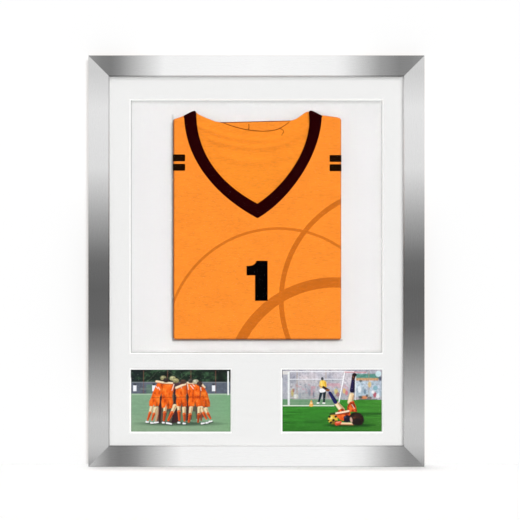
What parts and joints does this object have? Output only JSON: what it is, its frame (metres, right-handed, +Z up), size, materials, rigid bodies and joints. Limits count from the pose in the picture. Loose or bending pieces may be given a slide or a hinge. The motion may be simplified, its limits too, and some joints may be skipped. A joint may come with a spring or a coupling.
{
  "type": "jersey display frame",
  "caption": "Portrait silver display frame with mitred moulding, a deep glazed bay holding a folded V-neck jersey, and two small photo windows below.",
  "frame": {"origin": "middle of the bottom edge, half way between the front plane of the moulding and the wall plane of the bumpers", "axes": "+Z up; the glazed front faces -Y and the wall side is +Y; +X is to the viewer's right"},
  "size_m": [0.569, 0.0354, 0.696],
  "materials": {
    "silver_moulding": "silver foil over wood, brushed along each rail, soft sheen",
    "glazing": "clear, polished",
    "mount_card": "warm white, fine paper surface, white core in the bevels",
    "shirt_card": "warm white, fine paper surface",
    "photo_paper": "semi-gloss photographic print of a green sports field",
    "backing_card": "plain grey-white card",
    "tape": "matt gummed paper tape",
    "spacer_card": "matt white",
    "orange_knit": "fine matt polyester knit",
    "dark_rib": "very dark red rib knit, matt",
    "black_flock": "black heat-pressed flock, matt",
    "deep_orange_print": "printed tone on the knit, matt",
    "white_pad": "white hook-and-loop pad",
    "hardboard": "brown hardboard, smooth outer face",
    "zinc": "zinc-plated sheet steel",
    "screw_steel": "yellow-passivated steel",
    "nickel": "nickel-plated wire and strip",
    "black_rubber": "matt black rubber"
  },
  "bodies": {
    "frame": {"top_rail": "silver_moulding", "bottom_rail": "silver_moulding", "left_rail": "silver_moulding", "right_rail": "silver_moulding", "corner_v_nails": "zinc", "glazing_sheet": "glazing", "mount_board": "mount_card", "photo_print_left": "photo_paper", "photo_print_right": "photo_paper", "photo_backer_left": "backing_card", "photo_backer_right": "backing_card", "photo_tapes": "tape", "spacer_top": "spacer_card", "spacer_bottom": "spacer_card", "spacer_left": "spacer_card", "spacer_right": "spacer_card", "spacer_middle": "spacer_card", "shirt_backing_board": "shirt_card", "shirt_form_board": "backing_card", "jersey_front_panel": "orange_knit", "jersey_back_panel": "orange_knit", "jersey_neck_facing": "orange_knit", "jersey_neckband": "dark_rib", "jersey_number": "black_flock", "jersey_stripes_left": "black_flock", "jersey_stripes_right": "black_flock", "jersey_printed_arcs": "deep_orange_print", "jersey_sleeve_left": "orange_knit", "jersey_sleeve_right": "orange_knit", "jersey_lower_fold": "orange_knit", "mounting_pads": "white_pad", "rear_backboard": "hardboard", "button_screws": "screw_steel", "hanger_strap_left": "nickel", "hanger_strap_right": "nickel", "hanger_screws": "screw_steel", "wall_bumpers": "black_rubber"},
    "button_top_left": {"button_top_left": "zinc"},
    "button_top_right": {"button_top_right": "zinc"},
    "button_bottom_left": {"button_bottom_left": "zinc"},
    "button_bottom_right": {"button_bottom_right": "zinc"},
    "button_left_upper": {"button_left_upper": "zinc"},
    "button_left_lower": {"button_left_lower": "zinc"},
    "button_right_upper": {"button_right_upper": "zinc"},
    "button_right_lower": {"button_right_lower": "zinc"},
    "hanger_ring_left": {"hanger_ring_left": "nickel"},
    "hanger_ring_right": {"hanger_ring_right": "nickel"}
  },
  "joints": [
    {"name": "turn_top_left", "type": "hinge", "parent": "frame", "child": "button_top_left", "pos_m": [-0.15, 0.0136, 0.677], "axis": [0, 1, 0], "continuous": true},
    {"name": "turn_top_right", "type": "hinge", "parent": "frame", "child": "button_top_right", "pos_m": [0.15, 0.0136, 0.677], "axis": [0, 1, 0], "continuous": true},
    {"name": "turn_bottom_left", "type": "hinge", "parent": "frame", "child": "button_bottom_left", "pos_m": [-0.15, 0.0136, 0.019], "axis": [0, 1, 0], "continuous": true},
    {"name": "turn_bottom_right", "type": "hinge", "parent": "frame", "child": "button_bottom_right", "pos_m": [0.15, 0.0136, 0.019], "axis": [0, 1, 0], "continuous": true},
    {"name": "turn_left_upper", "type": "hinge", "parent": "frame", "child": "button_left_upper", "pos_m": [-0.2655, 0.0136, 0.54], "axis": [0, 1, 0], "continuous": true},
    {"name": "turn_left_lower", "type": "hinge", "parent": "frame", "child": "button_left_lower", "pos_m": [-0.2655, 0.0136, 0.17], "axis": [0, 1, 0], "continuous": true},
    {"name": "turn_right_upper", "type": "hinge", "parent": "frame", "child": "button_right_upper", "pos_m": [0.2655, 0.0136, 0.54], "axis": [0, 1, 0], "continuous": true},
    {"name": "turn_right_lower", "type": "hinge", "parent": "frame", "child": "button_right_lower", "pos_m": [0.2655, 0.0136, 0.17], "axis": [0, 1, 0], "continuous": true},
    {"name": "swing_ring_left", "type": "hinge", "parent": "frame", "child": "hanger_ring_left", "pos_m": [-0.259, 0.01488, 0.464], "axis": [0, 0, 1], "range_deg": [0, 170]},
    {"name": "swing_ring_right", "type": "hinge", "parent": "frame", "child": "hanger_ring_right", "pos_m": [0.259, 0.01488, 0.464], "axis": [0, 0, -1], "range_deg": [0, 170]}
  ]
}
